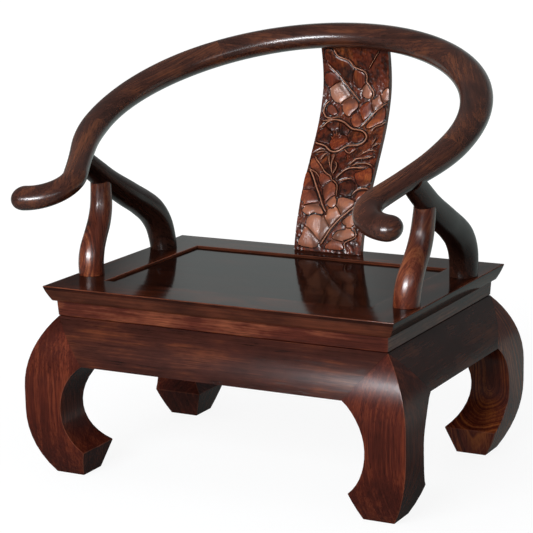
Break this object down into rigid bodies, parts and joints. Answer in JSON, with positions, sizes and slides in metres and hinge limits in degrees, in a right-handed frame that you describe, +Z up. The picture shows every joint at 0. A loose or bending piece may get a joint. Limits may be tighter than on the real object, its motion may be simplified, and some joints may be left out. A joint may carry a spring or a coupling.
{
  "type": "horseshoe back armchair",
  "caption": "Low lacquered hardwood armchair with a horseshoe arm rail ending in outward scrolls, a carved back splat, a panelled seat, a waist and bulging scroll-foot legs.",
  "frame": {"origin": "middle of the whole chair on the floor it stands on", "axes": "+Z up, -Y the way the sitter faces, +X to the sitter's left"},
  "size_m": [0.678, 0.584, 0.6778],
  "materials": {
    "seat_lacquer": "gloss lacquer",
    "panel_lacquer": "gloss lacquer",
    "waist_lacquer": "gloss lacquer",
    "apron_lacquer": "gloss lacquer",
    "leg_lacquer": "gloss lacquer",
    "post_lacquer": "gloss lacquer",
    "bent_lacquer": "gloss lacquer",
    "rail_lacquer": "gloss lacquer",
    "splat_lacquer": "gloss lacquer",
    "bare_wood": "matt"
  },
  "bodies": {
    "root": {"seat_frame_front": "seat_lacquer", "seat_frame_right": "seat_lacquer", "seat_frame_rear": "seat_lacquer", "seat_frame_left": "seat_lacquer", "seat_panel": "panel_lacquer", "panel_batten_left": "bare_wood", "panel_batten_right": "bare_wood", "waist_front": "waist_lacquer", "waist_right": "waist_lacquer", "waist_rear": "waist_lacquer", "waist_left": "waist_lacquer", "apron_front": "apron_lacquer", "apron_right": "apron_lacquer", "apron_rear": "apron_lacquer", "apron_left": "apron_lacquer", "leg_front_left": "leg_lacquer", "leg_front_right": "leg_lacquer", "leg_rear_left": "leg_lacquer", "leg_rear_right": "leg_lacquer", "rail_crest": "rail_lacquer", "rail_shoulder_left": "rail_lacquer", "rail_arm_left": "rail_lacquer", "crest_peg_left": "bare_wood", "arm_peg_left": "bare_wood", "rail_shoulder_right": "rail_lacquer", "rail_arm_right": "rail_lacquer", "crest_peg_right": "bare_wood", "arm_peg_right": "bare_wood", "splat": "splat_lacquer", "front_post_left": "post_lacquer", "bent_post_left": "bent_lacquer", "front_post_right": "post_lacquer", "bent_post_right": "bent_lacquer"}
  },
  "joints": []
}
